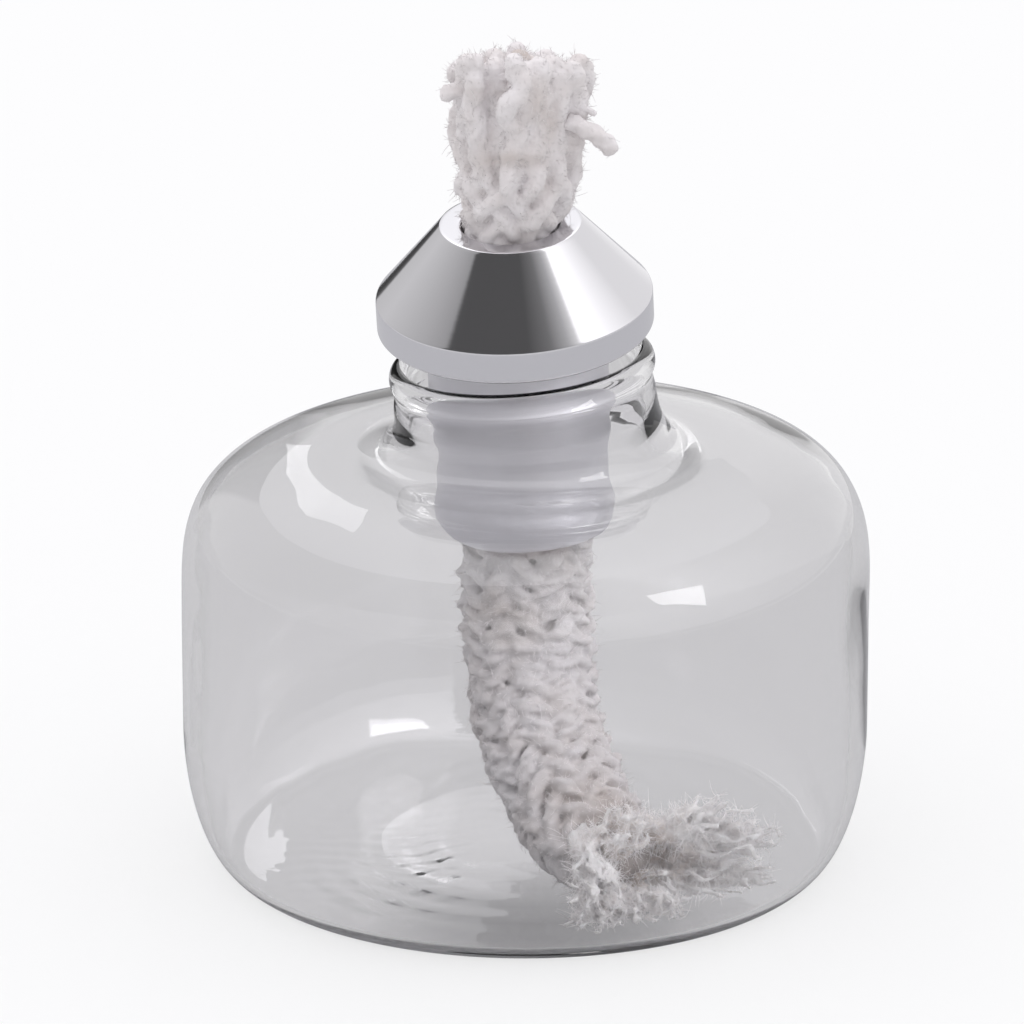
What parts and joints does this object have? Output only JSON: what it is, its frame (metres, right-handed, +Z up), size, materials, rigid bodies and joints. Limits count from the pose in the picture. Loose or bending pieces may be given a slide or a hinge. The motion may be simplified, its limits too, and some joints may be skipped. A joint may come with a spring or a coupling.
{
  "type": "oil lamp",
  "caption": "Squat clear-glass spirit lamp with a loose turned-metal cone wick holder in its neck and a thick braided wick with a frayed tuft.",
  "frame": {"origin": "middle of the glass foot, on the plane the lamp stands on", "axes": "+Z up along the reservoir's axis, -Y the front, +X to the right seen from the front"},
  "size_m": [0.075, 0.075, 0.094],
  "materials": {
    "clear_glass": "blown, fire-polished, clear with a faint lilac cast",
    "turned_aluminium": "fine lathe-turned rings, satin",
    "cotton_wick": "matt braided cotton yarn, undyed"
  },
  "bodies": {
    "reservoir": {"glass_reservoir": "clear_glass"},
    "holder": {"burner_holder": "turned_aluminium"},
    "wick": {"wick_core": "cotton_wick", "wick_tuft": "cotton_wick", "wick_tail": "cotton_wick"}
  },
  "joints": [
    {"name": "holder_lift", "type": "slide", "parent": "reservoir", "child": "holder", "axis": [-0.0483, -0.153, 0.987], "range_m": [0, 0.018]},
    {"name": "wick_slide", "type": "slide", "parent": "holder", "child": "wick", "axis": [-0.0483, -0.153, 0.987], "range_m": [0, 0.006]}
  ]
}
